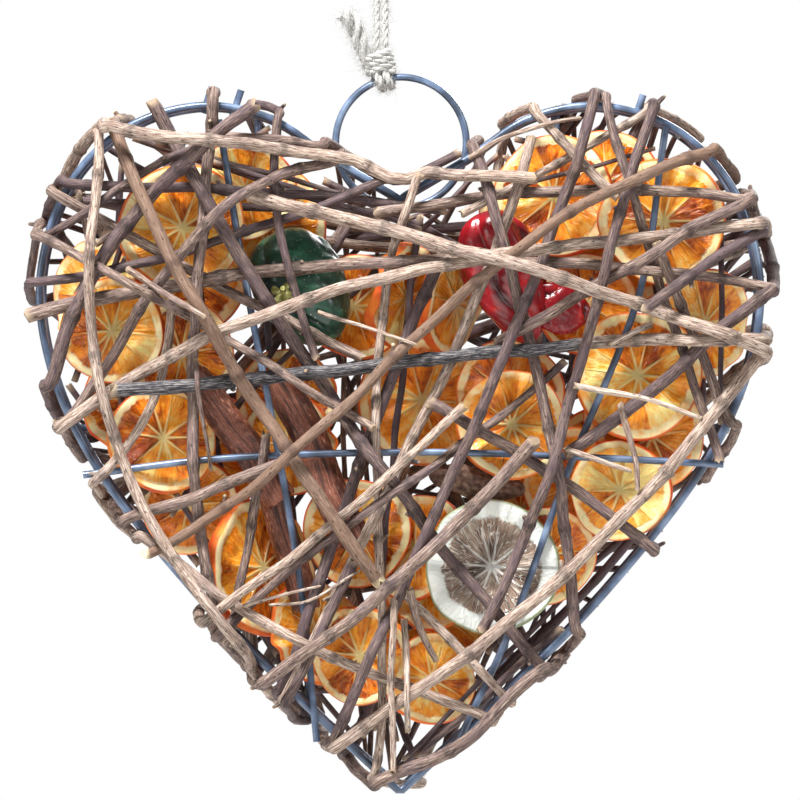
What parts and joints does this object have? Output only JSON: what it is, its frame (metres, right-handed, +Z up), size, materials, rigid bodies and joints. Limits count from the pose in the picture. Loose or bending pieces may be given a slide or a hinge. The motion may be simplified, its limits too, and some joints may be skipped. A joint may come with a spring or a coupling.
{
  "type": "hanging wicker heart",
  "caption": "Heart-shaped wire cage wound with vine twigs and filled with dried fruit and spice, hung by a ring and twine.",
  "frame": {"origin": "inside of the top of the hanging twine's loop, where a nail or hook carries it", "axes": "+Z up, the front faces -Y, +X is to the right of someone who looks at the front"},
  "size_m": [0.3175, 0.117, 0.3514],
  "materials": {
    "coated_wire": "satin blue-grey coating",
    "vine_bark": "dry, ribbed bark",
    "dark_bark": "dry, dark bark",
    "jute": "rough twisted fibre",
    "dried_orange": "dried, slightly glossy",
    "dried_lime": "dried, matte",
    "green_skin": "dried, glossy",
    "red_skin": "dried, glossy",
    "cinnamon_bark": "matte bark",
    "brown_husk": "matte, wrinkled"
  },
  "bodies": {
    "root": {"wire_frame": "coated_wire", "hanging_ring": "coated_wire", "hanging_twine": "jute", "twine_knot": "jute", "twine_tail": "jute", "lime_slice": "dried_lime", "green_pepper": "green_skin", "red_pepper": "red_skin", "brown_pod": "brown_husk", "cinnamon_1": "cinnamon_bark", "cinnamon_2": "cinnamon_bark", "cinnamon_3": "cinnamon_bark", "orange_slice_01": "dried_orange", "orange_slice_02": "dried_orange", "orange_slice_03": "dried_orange", "orange_slice_04": "dried_orange", "orange_slice_05": "dried_orange", "orange_slice_06": "dried_orange", "orange_slice_07": "dried_orange", "orange_slice_08": "dried_orange", "orange_slice_09": "dried_orange", "orange_slice_10": "dried_orange", "orange_slice_11": "dried_orange", "orange_slice_12": "dried_orange", "orange_slice_13": "dried_orange", "orange_slice_14": "dried_orange", "orange_slice_15": "dried_orange", "orange_slice_16": "dried_orange", "orange_slice_17": "dried_orange", "orange_slice_18": "dried_orange", "orange_slice_19": "dried_orange", "orange_slice_20": "dried_orange", "orange_slice_21": "dried_orange", "orange_slice_22": "dried_orange", "orange_slice_23": "dried_orange", "orange_slice_24": "dried_orange", "orange_slice_25": "dried_orange", "vine_01": "vine_bark", "vine_02": "vine_bark", "vine_03": "vine_bark", "vine_04": "vine_bark", "vine_05": "vine_bark", "vine_06": "vine_bark", "vine_07": "vine_bark", "vine_08": "vine_bark", "vine_09": "vine_bark", "vine_10": "vine_bark", "vine_11": "vine_bark", "vine_12": "vine_bark", "vine_13": "vine_bark", "vine_14": "vine_bark", "vine_15": "vine_bark", "vine_16": "vine_bark", "vine_17": "dark_bark", "vine_18": "vine_bark", "vine_19": "vine_bark", "vine_20": "vine_bark", "vine_21": "vine_bark", "vine_22": "vine_bark", "vine_23": "vine_bark"}
  },
  "joints": []
}
